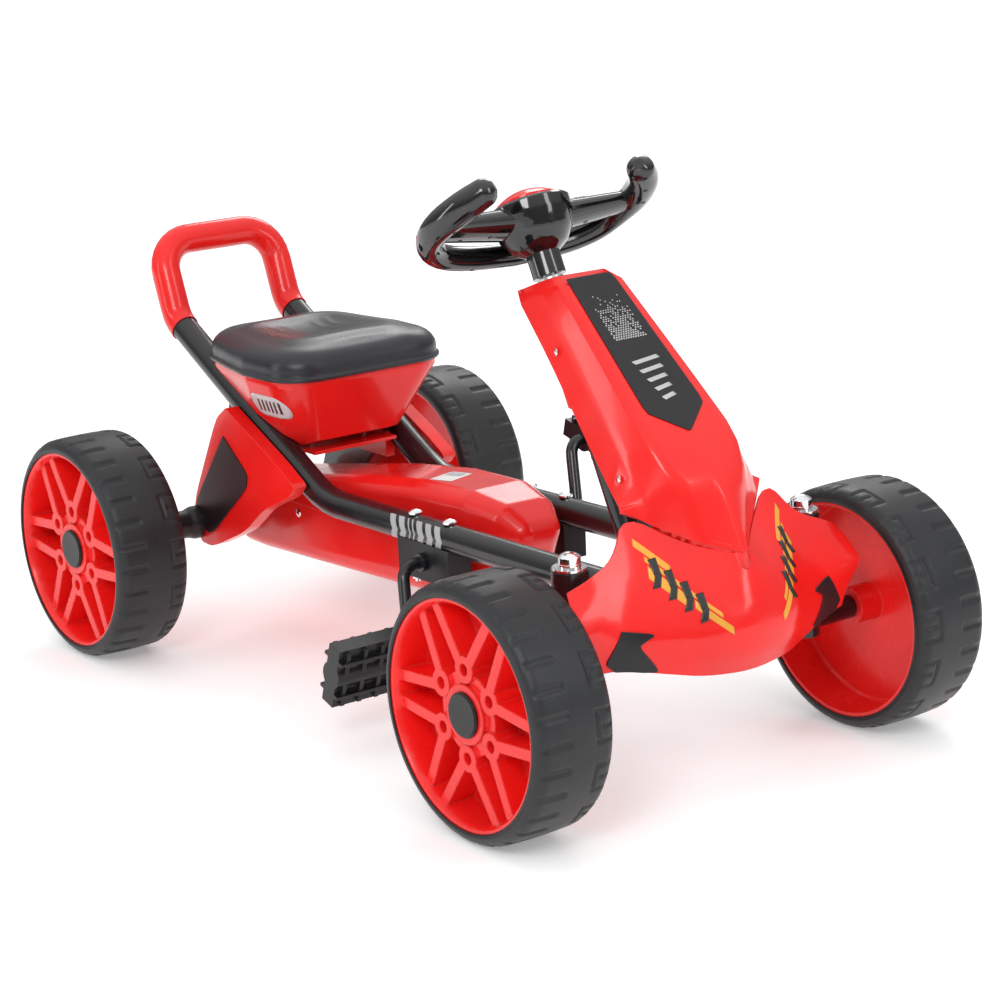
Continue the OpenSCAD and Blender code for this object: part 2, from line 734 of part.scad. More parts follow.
module nose_shell() {
  color(RED) sheet(nose_grid, 0, -wall);
}

insert_line = [[108, 51], [83, 46], [97, 38], [80, 14], [115, 19], [123, 27]];

// Dark patches let into the lower corners of the nose.
module nose_inserts() {
  mid = (len(nose_grid) - 1) / 2;
  half = [for (i = [floor(mid) + 1:len(nose_grid) - 1]) nose_grid[i]];
  color(SATIN) both() intersection() {
    sheet(half, 1.2, 0.15);
    translate([0, front[1], hub_z]) rotate([90, 0, 0]) linear_extrude(120)
      polygon(soften(concat(insert_line, [insert_line[0]]), 0.1, 2));
  }
}

// ---------- steering ----------

boss_r = 36;
horn_r = 27;
horn_travel = 3;
boss_s = column_l;       // the boss's middle plane along the column
rim_path = [[81, 57, 14], [94, 42, 9], [103, 14, 4], [100, -12, -1], [84, -31, -9], [50, -40, -14], [0, -43, -16]];
rim_size = [12, 13.5, 13, 11.5, 11, 10.5, 10];
grip_end = 11;            // length of the rounded end of each grip

module at_wheel() {
  translate(col_foot + col_dir * boss_s)
    multmatrix([[1, 0, 0, 0], [0, -cos(column_lean), sin(column_lean), 0],
      [0, sin(column_lean), cos(column_lean), 0], [0, 0, 0, 1]]) children();
}

// Open-topped wheel: two grips joined by a low rim, with two arms to the boss.
module steering_wheel() {
  half = soften([for (i = [0:6]) concat(rim_path[i], [rim_size[i]])], 0.25, 2);
  tip = rim_path[0] - rim_path[1];
  end = [for (k = [grip_end - 1, grip_end - 4, grip_end - 8]) concat(
    rim_path[0] + unit(tip) * k, [rim_size[0] * sqrt(1 - pow(k / grip_end, 2))])];
  side = concat(end, half);
  line = concat([for (p = side) [-p[0], p[1], p[2], p[3]]], [for (i = [len(side) - 2:-1:0]) side[i]]);
  color(GLOSS) at_wheel() difference() {
    union() {
      sweep([for (p = line) [p[0], p[1], p[2]]], [for (p = line) p[3]], 24);
      for (s = [-1, 1]) hull() {
        translate([s * 98, 2, 3]) scale([0.5, 1, 0.6]) sphere(r = 15, $fn = 24);
        translate([s * 22, -4, 0]) scale([0.5, 1, 0.6]) sphere(r = 22, $fn = 24);
      }
      rotate_extrude($fn = 48) polygon([[0, -30], [15, -30], [24, -24], [31, -14], [34, -4], [boss_r, 4], [boss_r, 12],
        [boss_r - 2, 14], [0, 14]]);
      translate([0, 0, -50]) cylinder(r = 14.5, h = 22, $fn = 48);
    }
    translate([0, 0, 4]) cylinder(r = horn_r + 0.4, h = 20, $fn = 48);
    translate([0, 0, -70]) cylinder(r = column_d / 2 + 0.02, h = 72);
    translate([0, 0, -42]) rotate([90, 0, 0]) cylinder(r = 2.2, h = 30);
    translate([52.5, 0, 7]) cube([12.4, 9.4, 12], center = true);
  }
}

module steering_column() {
  color(STEEL) {
    on_column(0) cylinder(d = column_d, h = boss_s - 0.5);
    on_column(head_low - 5) cylinder(r = column_d / 2 + 4, h = 5 - roll);
    on_column(head_high + roll) cylinder(r = column_d / 2 + 4, h = 4);
    translate([0, front[1], 0]) pitman();
  }
}

// Flat arm at the column's foot with the pin that moves the tie rods.
tie_y = knuckle_arm;     // the tie rods' line behind the front axle line
tie_z = hub_z - 12;
pitman_r = knuckle_arm * steer_ratio;
pin_r = 3;

module pitman() {
  hull() {
    translate([0, 30, hub_z - 5]) rotate([-column_lean, 0, 0]) cylinder(r = 11, h = 6, $fn = 32);
    translate([0, 30 + pitman_r, hub_z + 3]) rotate([-column_lean, 0, 0]) cylinder(r = 7, h = 5, $fn = 32);
  }
  translate([0, 30 + pitman_r, tie_z - 18]) cylinder(r = pin_r, h = 34);
}

module horn_button() {
  color(RED) at_wheel() intersection() {
    translate([0, 0, 8]) cylinder(r = horn_r, h = 20);
    translate([0, 0, 26 - 46]) sphere(r = 46);
  }
}

// Dished spring washer under the horn button.
module horn_spring() {
  color(STEEL) at_wheel() rotate_extrude()
    polygon([[8.4, 4.2], [9.6, 6.9], [9.6, 7.6], [8.4, 4.9]]);
}

module wheel_switch() {
  color(SATIN) at_wheel() {
    translate([52.5, 0, 8]) cube([12, 9, 9], center = true);
  }
}

module collar_screw() {
  color(STEEL) at_wheel() translate([0, -14.6, -42]) rotate([90, 0, 0]) screw(4, 7, 2, 6);
}

// ---------- front knuckles and tie rods, drawn for the left side ----------

stub_end = tyre_w / 2 - 10;  // where the axles end, out from the wheel's middle plane
hub_in = -22;                // where the wheel's hub starts

// Kingpin, its foot and the stub axle, with the steering arm to the rear.
module knuckle() {
  foot_z = hub_z;
  translate([kingpin_x, front[1], 0]) {
    translate([0, 0, barrel_z - 12]) cylinder(d = pin_d, h = barrel_h + 12 + 8);
    translate([0, 0, foot_z - 12]) cylinder(r = barrel_r, h = barrel_z - roll - foot_z + 12);
    translate([0, 0, hub_z]) rotate([0, 90, 0]) cylinder(d = axle_d, h = wheel_x + stub_end - kingpin_x);
    translate([0, 0, hub_z]) rotate([0, 90, 0]) cylinder(d = axle_d + 8, h = wheel_x + hub_in - kingpin_x - roll);
  }
  difference() {
    union() {
      translate([kingpin_x, front[1] + 6, foot_z - 12]) rotate([0, 0, 90]) translate([0, -5, 0])
        cube([knuckle_arm - 6, 10, 8]);
      translate([kingpin_x, front[1] + knuckle_arm, foot_z - 12]) cylinder(r = 8, h = 8);
    }
    translate([kingpin_x, front[1] + knuckle_arm, 0]) cylinder(r = pin_r + fit, h = hub_z);
  }
}

module knuckle_left() {
  color(SATIN) knuckle();
}

module knuckle_right() {
  color(SATIN) mirror([1, 0, 0]) knuckle();
}

// Domed bolt head and washer on top of a kingpin.
module kingpin_nut() {
  translate([kingpin_x, front[1], barrel_z + barrel_h + roll]) difference() {
    union() {
      cylinder(r = 14, h = 2);
      cylinder(d = 19, h = 5);
      translate([0, 0, 5]) cylinder(d = 18, h = 5);
      translate([0, 0, 10]) intersection() {
        cylinder(d = 18, h = 6);
        translate([0, 0, -9]) sphere(r = 12.8);
      }
    }
    translate([0, 0, -1]) cylinder(r = pin_d / 2 + 0.01, h = 9.6);
  }
}

module kingpin_nut_left() {
  color(STEEL) kingpin_nut();
}

module kingpin_nut_right() {
  color(STEEL) mirror([1, 0, 0]) kingpin_nut();
}

eye_play = 3.5;            // the open eye's clearance round the pitman's pin

// Rod from the steering arm to the pitman. drop stacks the two inner eyes.
module tie_rod(drop) {
  arm = [kingpin_x, front[1] + tie_y, hub_z - 18.5];
  eye = [0, front[1] + 30 + pitman_r, hub_z - 18.5 - drop];
  difference() {
    union() {
      rod(arm + [-6, 0, 3], eye + [pin_r + eye_play + 3, 0, 3], 7);
      translate(arm) cylinder(r = 8, h = 6);
      translate(eye) cylinder(r = pin_r + eye_play + 4, h = 6);
    }
    translate(eye - [0, 0, 5]) cylinder(r = pin_r + eye_play, h = 20);
  }
  translate(arm) cylinder(r = pin_r, h = 16);
}

module tie_rod_left() {
  color(STEEL) tie_rod(0);
}

module tie_rod_right() {
  color(STEEL) mirror([1, 0, 0]) tie_rod(9);
}

// ---------- wheels, drawn with their axis along Z and their outer face toward +Z ----------

tyre_r = wheel_d / 2;
rim_r = rim_d / 2;
lip = 2.5;               // the tyre's bead stands this far over the rim's edge
spoke_n = 6;
web_z = 6;               // outer face of the closed web behind the spokes
spoke_top = tyre_w / 2 - 7;
hub_r = 20;

module place_wheel(side, axle) {
  translate([side * wheel_x, axle[1], axle[2]]) rotate([0, side * 90, 0]) children();
}

module tyre() {
  h = tyre_w / 2;
  s = 9;
  color(GREY) rotate_extrude() intersection() {
    union() {
      translate([rim_r - s, -h]) square([tyre_r - rim_r, tyre_w]);
      translate([tyre_r - s - 1, -h + s]) square([s + 1, tyre_w - 2 * s]);
      for (e = [-1, 1]) translate([tyre_r - s, e * (h - s)]) circle(r = s);
    }
    translate([rim_r + 0.02, -h]) square([tyre_r - rim_r, tyre_w]);
  }
}

lug_r = 11;
arm_w = 9;
arm_spread = 23;         // degrees from a lug's line to where its arm meets the rim

// One of the two arms from a lug to the rim.
module arm(k, side) {
  a0 = k * 360 / spoke_n;
  p = 38 * [cos(a0), sin(a0)] + side * 4 * [-sin(a0), cos(a0)];
  q = (rim_r - 5) * [cos(a0 + side * arm_spread), sin(a0 + side * arm_spread)];
  d = q - p;
  translate([p[0], p[1], web_z - 1]) rotate([0, 0, atan2(d[1], d[0])]) translate([0, -arm_w / 2, 0])
    cube([norm(d) + 1, arm_w, spoke_top - web_z + 1]);
}

module rim() {
  h = tyre_w / 2;
  color(RED) difference() {
    union() {
      rotate_extrude() polygon([[rim_r - 4, -h + 1], [rim_r, -h + 1], [rim_r, h - 1], [rim_r - 3.2, h - 1],
        [rim_r - 6, h - 5], [rim_r - 8, web_z - 1], [rim_r - 8, web_z - 3], [rim_r - 5.5, web_z - 6]]);
      translate([0, 0, web_z - 4]) cylinder(r = rim_r - 7, h = 4);
      translate([0, 0, hub_in]) cylinder(r = hub_r - 4, h = web_z - hub_in);
      translate([0, 0, web_z - 1]) cylinder(r = hub_r + 14, h = spoke_top - web_z - 2);
      translate([0, 0, web_z - 1]) cylinder(r = hub_r + 4, h = spoke_top - web_z + 2);
      for (k = [0:spoke_n - 1]) {
        rotate([0, 0, k * 360 / spoke_n]) translate([36, 0, web_z - 1]) cylinder(r = lug_r, h = spoke_top - web_z + 1);
        arm(k, 1);
        arm(k, -1);
      }
    }
    for (k = [0:spoke_n - 1]) rotate([0, 0, k * 360 / spoke_n]) translate([36, 0, spoke_top - 9])
      cylinder(r = 5, h = 20);
    translate([0, 0, pocket_z]) cylinder(r = cap_d / 2 + 0.02, h = 20);
    translate([0, 0, hub_in - 1]) cylinder(r = axle_d / 2 + fit, h = 60);
  }
}

module cap() {
  color(SATIN) difference() {
    union() {
      translate([0, 0, spoke_top - 4]) cylinder(r = cap_d / 2, h = 4 + 3);
      translate([0, 0, spoke_top + 3]) cylinder(r = cap_d / 2 - 1, h = 1);
    }
    translate([0, 0, spoke_top - 5]) cylinder(r = cap_d / 2 - 2.5, h = 5);
  }
}

pocket_z = spoke_top - 12; // floor of the cap's pocket

module wheel_nut() {
  translate([0, 0, pocket_z + roll]) hex_nut(18, 7.5, axle_d + 0.02);
}

module stub_nut_left() {
  color(STEEL) place_wheel(1, front) wheel_nut();
}

module stub_nut_right() {
  color(STEEL) place_wheel(-1, front) wheel_nut();
}

module rear_axle_nuts() {
  color(STEEL) for (side = [-1, 1]) place_wheel(side, rear) wheel_nut();
}

module tyre_front_left() { place_wheel(1, front) tyre(); }
module tyre_front_right() { place_wheel(-1, front) tyre(); }
module tyre_rear_left() { place_wheel(1, rear) tyre(); }
module tyre_rear_right() { place_wheel(-1, rear) tyre(); }
module rim_front_left() { place_wheel(1, front) rim(); }
module rim_front_right() { place_wheel(-1, front) rim(); }
module rim_rear_left() { place_wheel(1, rear) rim(); }
module rim_rear_right() { place_wheel(-1, rear) rim(); }
module cap_front_left() { place_wheel(1, front) cap(); }
module cap_front_right() { place_wheel(-1, front) cap(); }
module cap_rear_left() { place_wheel(1, rear) cap(); }
module cap_rear_right() { place_wheel(-1, rear) cap(); }

module rear_axle() {
  reach = wheel_x + stub_end;
  color(STEEL) translate([-reach, rear[1], rear[2]]) rotate([0, 90, 0]) cylinder(d = axle_d, h = 2 * reach);
}

rail_left();
rail_right();
front_beam();
head_tube();
column_bushes();
rear_brackets();
push_hoop();
crank_blocks();
block_screws();
block_nuts();
chain_case_upper();
chain_case_lower();
pod_left();
pod_right();
pod_inserts();
axle_bushes();
axle_sleeves();
seat_tub();
seat_pad();
seat_bracket();
panel_screws();
console_shell();
console_back();
console_panel();
nose_shell();
nose_inserts();
steering_column();
steering_wheel();
horn_button();
horn_spring();
wheel_switch();
collar_screw();
knuckle_left();
knuckle_right();
kingpin_nut_left();
kingpin_nut_right();
tie_rod_left();
tie_rod_right();
crank_rod();
front_sprocket();
chain();
pedal_left();
pedal_right();
rear_axle();
rear_sprocket();
stub_nut_left();
stub_nut_right();
rear_axle_nuts();
tyre_front_left();
tyre_front_right();
tyre_rear_left();
tyre_rear_right();
rim_front_left();
rim_front_right();
rim_rear_left();
rim_rear_right();
cap_front_left();
cap_front_right();
cap_rear_left();
cap_rear_right();
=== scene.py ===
"""Looks of a child's pedal go kart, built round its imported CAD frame. All sizes are in metres."""

import json
import math

import bpy
import numpy as np
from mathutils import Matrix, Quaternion, Vector
from mathutils.bvhtree import BVHTree


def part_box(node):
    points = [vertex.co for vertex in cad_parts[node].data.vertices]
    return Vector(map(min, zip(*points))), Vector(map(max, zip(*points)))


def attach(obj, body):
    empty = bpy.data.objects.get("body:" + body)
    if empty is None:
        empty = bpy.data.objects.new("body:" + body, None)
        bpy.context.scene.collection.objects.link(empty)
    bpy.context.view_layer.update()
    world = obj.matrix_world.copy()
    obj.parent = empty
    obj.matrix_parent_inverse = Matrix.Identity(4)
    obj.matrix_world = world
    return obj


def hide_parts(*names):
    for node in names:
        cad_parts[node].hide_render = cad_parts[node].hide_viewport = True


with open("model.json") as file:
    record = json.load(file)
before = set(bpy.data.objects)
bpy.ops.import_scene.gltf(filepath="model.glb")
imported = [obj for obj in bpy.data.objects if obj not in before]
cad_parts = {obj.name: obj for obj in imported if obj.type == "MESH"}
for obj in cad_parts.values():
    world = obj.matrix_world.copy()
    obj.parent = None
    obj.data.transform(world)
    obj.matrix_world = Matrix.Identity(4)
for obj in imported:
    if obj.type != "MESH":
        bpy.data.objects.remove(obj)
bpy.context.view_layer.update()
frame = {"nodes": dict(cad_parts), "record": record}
nodes = frame["nodes"]
scene = bpy.context.scene

SMOOTH_ANGLE = 32  # degrees between faces that shade as one surface
WELD_GRID = 2e5  # corners nearer than 1 / WELD_GRID count as one
FLOOR_HALF = 60
DECAL_LIFT = 0.00035
DECAL_START = 0.06  # how far off the surface a decal's rays start, and how far they look
DECAL_REACH = 0.2
OVERPRINT = 1.9  # lift of a print that lies on another print, in DECAL_LIFT


# ---------- camera, floor and light ----------

def make_camera():
    """The camera stands ahead of the kart, to the driver's right, a little above it."""
    data = bpy.data.cameras.new("camera")
    cam = bpy.data.objects.new("camera", data)
    scene.collection.objects.link(cam)
    data.lens, data.sensor_width = 98.66, 36
    azimuth, elevation, roll = math.radians(35.77), math.radians(15.06), math.radians(-2.38)
    ahead = Vector((math.sin(azimuth) * math.cos(elevation), math.cos(azimuth) * math.cos(elevation),
                    -math.sin(elevation)))
    cam.rotation_mode = "QUATERNION"
    cam.rotation_quaternion = ahead.to_track_quat("-Z", "Y") @ Quaternion((0, 0, 1), roll)
    cam.location = (-1.3559, -1.9426, 0.8062)
    scene.camera = cam


def make_floor():
    corners = [(x * FLOOR_HALF, y * FLOOR_HALF, 0) for x, y in ((-1, -1), (1, -1), (1, 1), (-1, 1))]
    mesh = bpy.data.meshes.new("floor")
    mesh.from_pydata(corners, [], [(0, 1, 2, 3)])
    floor = bpy.data.objects.new("floor", mesh)
    scene.collection.objects.link(floor)
    mat = bpy.data.materials.new("floor")
    mat.use_nodes = True
    shader = mat.node_tree.nodes["Principled BSDF"]
    shader.inputs["Base Color"].default_value = (0.9, 0.9, 0.9, 1)
    shader.inputs["Emission Color"].default_value = (1, 1, 1, 1)
    shader.inputs["Emission Strength"].default_value = 0.27
    shader.inputs["Roughness"].default_value = 0.6
    shader.inputs["Specular IOR Level"].default_value = 0.2
    mesh.materials.append(mat)


def softbox(name, place, aim, width, height, watts):
    data = bpy.data.lights.new(name, "AREA")
    data.shape, data.size, data.size_y, data.energy = "RECTANGLE", width, height, watts
    lamp = bpy.data.objects.new(name, data)
    scene.collection.objects.link(lamp)
    lamp.location = place
    lamp.rotation_mode = "QUATERNION"
    lamp.rotation_quaternion = (Vector(aim) - Vector(place)).to_track_quat("-Z", "Y")


def make_lights():
    world = bpy.data.worlds.new("studio")
    scene.world = world
    world.use_nodes = True
    tree = world.node_tree
    back = tree.nodes["Background"]
    back.inputs["Color"].default_value = (1, 1, 1, 1)
    split = tree.nodes.new("ShaderNodeSeparateXYZ")
    tree.links.new(tree.nodes.new("ShaderNodeTexCoord").outputs["Generated"], split.inputs["Vector"])
    dome = tree.nodes.new("ShaderNodeMapRange")
    dome.interpolation_type = "SMOOTHSTEP"
    dome.inputs["From Min"].default_value = 0.02
    dome.inputs["From Max"].default_value = 0.95
    dome.inputs["To Min"].default_value = 0.26
    dome.inputs["To Max"].default_value = 1.12
    tree.links.new(split.outputs["Z"], dome.inputs["Value"])
    seen = tree.nodes.new("ShaderNodeMix")
    seen.inputs["B"].default_value = 1.1
    tree.links.new(tree.nodes.new("ShaderNodeLightPath").outputs["Is Camera Ray"], seen.inputs["Factor"])
    tree.links.new(dome.outputs["Result"], seen.inputs["A"])
    tree.links.new(seen.outputs["Result"], back.inputs["Strength"])
    softbox("key", (-1.9, -1.7, 1.9), (0, 0, 0.2), 0.9, 0.9, 23)
    softbox("front", (0.9, -2.4, 1.5), (0, 0, 0.2), 0.5, 1.4, 11)
    softbox("side", (-2.6, 0.9, 1.0), (0, 0, 0.25), 0.35, 1.6, 9)
    softbox("rim", (1.8, 1.8, 1.8), (0, 0, 0.2), 1.4, 0.8, 16)
    scene.view_settings.view_transform = "Standard"


# ---------- materials ----------

def ramp_noise(tree, coords, scale, low, high, detail=4):
    """A noise from low to high, as one value."""
    noise = tree.nodes.new("ShaderNodeTexNoise")
    noise.inputs["Scale"].default_value = scale
    noise.inputs["Detail"].default_value = detail
    tree.links.new(coords, noise.inputs["Vector"])
    spread = tree.nodes.new("ShaderNodeMapRange")
    spread.inputs["From Min"].default_value = 0.3
    spread.inputs["From Max"].default_value = 0.7
    spread.inputs["To Min"].default_value = low
    spread.inputs["To Max"].default_value = high
    tree.links.new(noise.outputs["Fac"], spread.inputs["Value"])
    return spread.outputs["Result"]


def finish(name, colour, rough, metallic=0.0, grain=0.0, grain_scale=900, tone=0.08, rough_spread=0.05,
           coat=0.0, edge=0.0008, painted_edge_highlight=None, cells=False, dust=None, specular=0.5):
    """A moulded, painted or plated surface: tone and gloss vary, fine grain, softened edges, with a painted
    highlight (a lighter tone) on the edges.
    """
    mat = bpy.data.materials.new(name)
    mat.use_nodes = True
    tree = mat.node_tree
    shader = tree.nodes["Principled BSDF"]
    shader.inputs["Metallic"].default_value = metallic
    shader.inputs["Coat Weight"].default_value = coat
    shader.inputs["Coat Roughness"].default_value = 0.04
    shader.inputs["Specular IOR Level"].default_value = specular
    coords = tree.nodes.new("ShaderNodeTexCoord").outputs["Object"]
    mix = tree.nodes.new("ShaderNodeMix")
    mix.data_type = "RGBA"
    mix.inputs["A"].default_value = [c * (1 - tone) for c in colour] + [1]
    mix.inputs["B"].default_value = [min(1, c * (1 + tone)) for c in colour] + [1]
    tree.links.new(ramp_noise(tree, coords, 14, 0, 1), mix.inputs["Factor"])
    out = mix.outputs["Result"]
    bevel = tree.nodes.new("ShaderNodeBevel")
    bevel.samples = 4
    bevel.inputs["Radius"].default_value = edge
    # Painted highlight: a lighter tone mixed in where the softened edge bends the normal.
    if painted_edge_highlight:
        geometry = tree.nodes.new("ShaderNodeNewGeometry")
        dot = tree.nodes.new("ShaderNodeVectorMath")
        dot.operation = "DOT_PRODUCT"
        tree.links.new(bevel.outputs["Normal"], dot.inputs[0])
        tree.links.new(geometry.outputs["Normal"], dot.inputs[1])
        edge_highlight_mask = tree.nodes.new("ShaderNodeMapRange")
        edge_highlight_mask.inputs["From Min"].default_value = 0.995
        edge_highlight_mask.inputs["From Max"].default_value = 0.93
        edge_highlight_mask.inputs["To Max"].default_value = 0.55
        tree.links.new(dot.outputs["Value"], edge_highlight_mask.inputs["Value"])
        edge_highlight_mix = tree.nodes.new("ShaderNodeMix")
        edge_highlight_mix.data_type = "RGBA"
        edge_highlight_mix.inputs["B"].default_value = [*painted_edge_highlight, 1]
        tree.links.new(out, edge_highlight_mix.inputs["A"])
        tree.links.new(edge_highlight_mask.outputs["Result"], edge_highlight_mix.inputs["Factor"])
        out = edge_highlight_mix.outputs["Result"]
    if dust:
        dusty = tree.nodes.new("ShaderNodeMix")
        dusty.data_type = "RGBA"
        dusty.inputs["B"].default_value = [*dust, 1]
        tree.links.new(out, dusty.inputs["A"])
        tree.links.new(ramp_noise(tree, coords, 45, 0, 0.5, 8), dusty.inputs["Factor"])
        out = dusty.outputs["Result"]
    tree.links.new(out, shader.inputs["Base Color"])
    gloss = ramp_noise(tree, coords, 30, max(0.02, rough - rough_spread), rough + rough_spread, 6)
    tree.links.new(gloss, shader.inputs["Roughness"])
    if cells:
        texture = tree.nodes.new("ShaderNodeTexVoronoi")
        height = texture.outputs["Distance"]
    else:
        texture = tree.nodes.new("ShaderNodeTexNoise")
        texture.inputs["Detail"].default_value = 3
        height = texture.outputs["Fac"]
    texture.inputs["Scale"].default_value = grain_scale
    tree.links.new(coords, texture.inputs["Vector"])
    bump = tree.nodes.new("ShaderNodeBump")
    bump.inputs["Strength"].default_value = grain
    bump.inputs["Distance"].default_value = 0.0002
    tree.links.new(height, bump.inputs["Height"])
    tree.links.new(bevel.outputs["Normal"], bump.inputs["Normal"])
    tree.links.new(bump.outputs["Normal"], shader.inputs["Normal"])
    return mat


RED_TONE = (0.84, 0.014, 0.012)
# The edge tone given to a finish is a painted highlight: a lighter colour on its rounded edges.
LOOKS = {
    "red_plastic": finish("red_plastic", RED_TONE, 0.22, grain=0.12, grain_scale=260, coat=0.18, specular=0.36,
                          edge=0.0012, painted_edge_highlight=(0.95, 0.10, 0.085)),
    "red_rim": finish("red_rim", RED_TONE, 0.28, grain=0.15, grain_scale=260, coat=0.15, specular=0.36,
                      edge=0.0024, painted_edge_highlight=(0.92, 0.07, 0.06)),
    "black_plastic": finish("black_plastic", (0.010, 0.010, 0.012), 0.36, grain=0.3, specular=0.4,
                            painted_edge_highlight=(0.05, 0.05, 0.053)),
    "black_paint": finish("black_paint", (0.008, 0.008, 0.010), 0.24, grain=0.22, grain_scale=1400, coat=0.2,
                          painted_edge_highlight=(0.05, 0.05, 0.052)),
    "black_gloss": finish("black_gloss", (0.005, 0.005, 0.006), 0.1, grain=0.05, grain_scale=200, coat=0.6,
                          painted_edge_highlight=(0.03, 0.03, 0.032)),
    "seat_black": finish("seat_black", (0.016, 0.017, 0.022), 0.3, grain=0.4, grain_scale=1300, cells=True,
                         tone=0.15),
    "tyre": finish("tyre", (0.012, 0.013, 0.015), 0.4, grain=0.5, grain_scale=1500, cells=True, tone=0.2,
                   dust=(0.022, 0.023, 0.025), specular=0.42),
    "steel": finish("steel", (0.55, 0.55, 0.56), 0.3, metallic=1.0, grain=0.3, grain_scale=700, tone=0.15,
                    rough_spread=0.1, edge=0.0003),
    "chrome": finish("chrome", (0.82, 0.82, 0.83), 0.12, metallic=1.0, grain=0.1, tone=0.06, edge=0.0004),
}


def smooth_shade(obj):
    """Corner normals averaged over the neighbouring faces that meet within the angle."""
    mesh = obj.data
    n_face, n_loop = len(mesh.polygons), len(mesh.loops)
    co = np.empty(len(mesh.vertices) * 3)
    mesh.vertices.foreach_get("co", co)
    snapped = np.round(co.reshape(-1, 3) * WELD_GRID).astype(np.int64)
    key = np.unique(snapped, axis=0, return_inverse=True)[1].ravel()
    normal = np.empty(n_face * 3)
    area = np.empty(n_face)
    total = np.empty(n_face, np.int64)
    vertex = np.empty(n_loop, np.int64)
    mesh.polygons.foreach_get("normal", normal)
    mesh.polygons.foreach_get("area", area)
    mesh.polygons.foreach_get("loop_total", total)
    mesh.loops.foreach_get("vertex_index", vertex)
    normal = normal.reshape(-1, 3)
    face = np.repeat(np.arange(n_face), total)
    place = key[vertex]
    order = np.argsort(place, kind="stable")
    starts = np.searchsorted(place[order], np.arange(place.max() + 2))
    result = np.zeros((n_loop, 3))
    limit = math.cos(math.radians(SMOOTH_ANGLE))
    for p in range(len(starts) - 1):
        group = order[starts[p]:starts[p + 1]]
        if not len(group):
            continue
        own = normal[face[group]]
        near = (own @ own.T) > limit
        result[group] = near @ (own * area[face[group], None])
    length = np.linalg.norm(result, axis=1)
    bad = length < 1e-14
    result[bad] = normal[face[bad]]
    length[bad] = 1
    mesh.polygons.foreach_set("use_smooth", [True] * n_face)
    mesh.normals_split_custom_set((result / length[:, None]).tolist())


def dress_nodes():
    """Every CAD node gets its slot's finish and smooth shading."""
    slots = {part["node"]: part["material_slot"] for part in frame["record"]["subparts"]}
    for name, obj in nodes.items():
        obj.data.materials.clear()
        obj.data.materials.append(LOOKS["red_rim" if name.startswith("rim") else slots[name]])
        smooth_shade(obj)


# ---------- mesh helpers ----------

def new_piece(name, verts, faces, look, body, smooth=True):
    mesh = bpy.data.meshes.new(name)
    mesh.from_pydata([tuple(v) for v in verts], [], faces)
    mesh.validate()
    mesh.update()
    obj = bpy.data.objects.new(name, mesh)
    scene.collection.objects.link(obj)
    mesh.materials.append(look)
    if smooth:
        mesh.polygons.foreach_set("use_smooth", [True] * len(mesh.polygons))
    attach(obj, body)
    return obj


def grid_faces(rows, cols, wrap_rows=False, wrap_cols=False):
    faces = []
    for i in range(rows if wrap_rows else rows - 1):
        for j in range(cols if wrap_cols else cols - 1):
            a, b = (i + 1) % rows, (j + 1) % cols
            faces.append((i * cols + j, i * cols + b, a * cols + b, a * cols + j))
    return faces


def centre(node):
    low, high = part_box(node)
    return (Vector(low) + Vector(high)) / 2


def step(x, a, b):
    """0 below a, 1 above b, smooth between."""
    t = min(1, max(0, (x - a) / (b - a)))
    return t * t * (3 - 2 * t)


# ---------- tyres ----------

TREAD_PITCHES = 30
TREAD_DEPTH = 0.0017


def tread(u, turn, half):
    """Depth of the tread at u across the tyre, from inner edge -half to outer edge half."""
    phase = (turn * TREAD_PITCHES / (2 * math.pi)) % 1.0
    depth = 0.0
    # outer half: one lateral groove a pitch, which fades at both ends
    bar = step(phase, 0.28, 0.40) * (1 - step(phase, 0.52, 0.64))
    depth += bar * step(u, 0.16 * half, 0.26 * half) * (1 - step(u, 0.80 * half, 0.96 * half))
    # inner half: square hook-shaped outlines, two pitches long
    p2 = (turn * TREAD_PITCHES / (4 * math.pi)) % 1.0
    v = -u / half
    side = step(v, 0.42, 0.46) * (1 - step(v, 0.50, 0.54)) * step(p2, 0.10, 0.14) * (1 - step(p2, 0.66, 0.70))
    first = step(p2, 0.08, 0.11) * (1 - step(p2, 0.16, 0.19))
    second = step(p2, 0.61, 0.64) * (1 - step(p2, 0.69, 0.72))
    ends = max(first, second) * (step(v, 0.42, 0.46) * (1 - step(v, 0.86, 0.92)))
    short = step(p2, 0.34, 0.37) * (1 - step(p2, 0.42, 0.45)) * step(v, 0.58, 0.62) * (1 - step(v, 0.84, 0.90))
    depth += max(side, ends, short) * 0.9
    return depth * TREAD_DEPTH


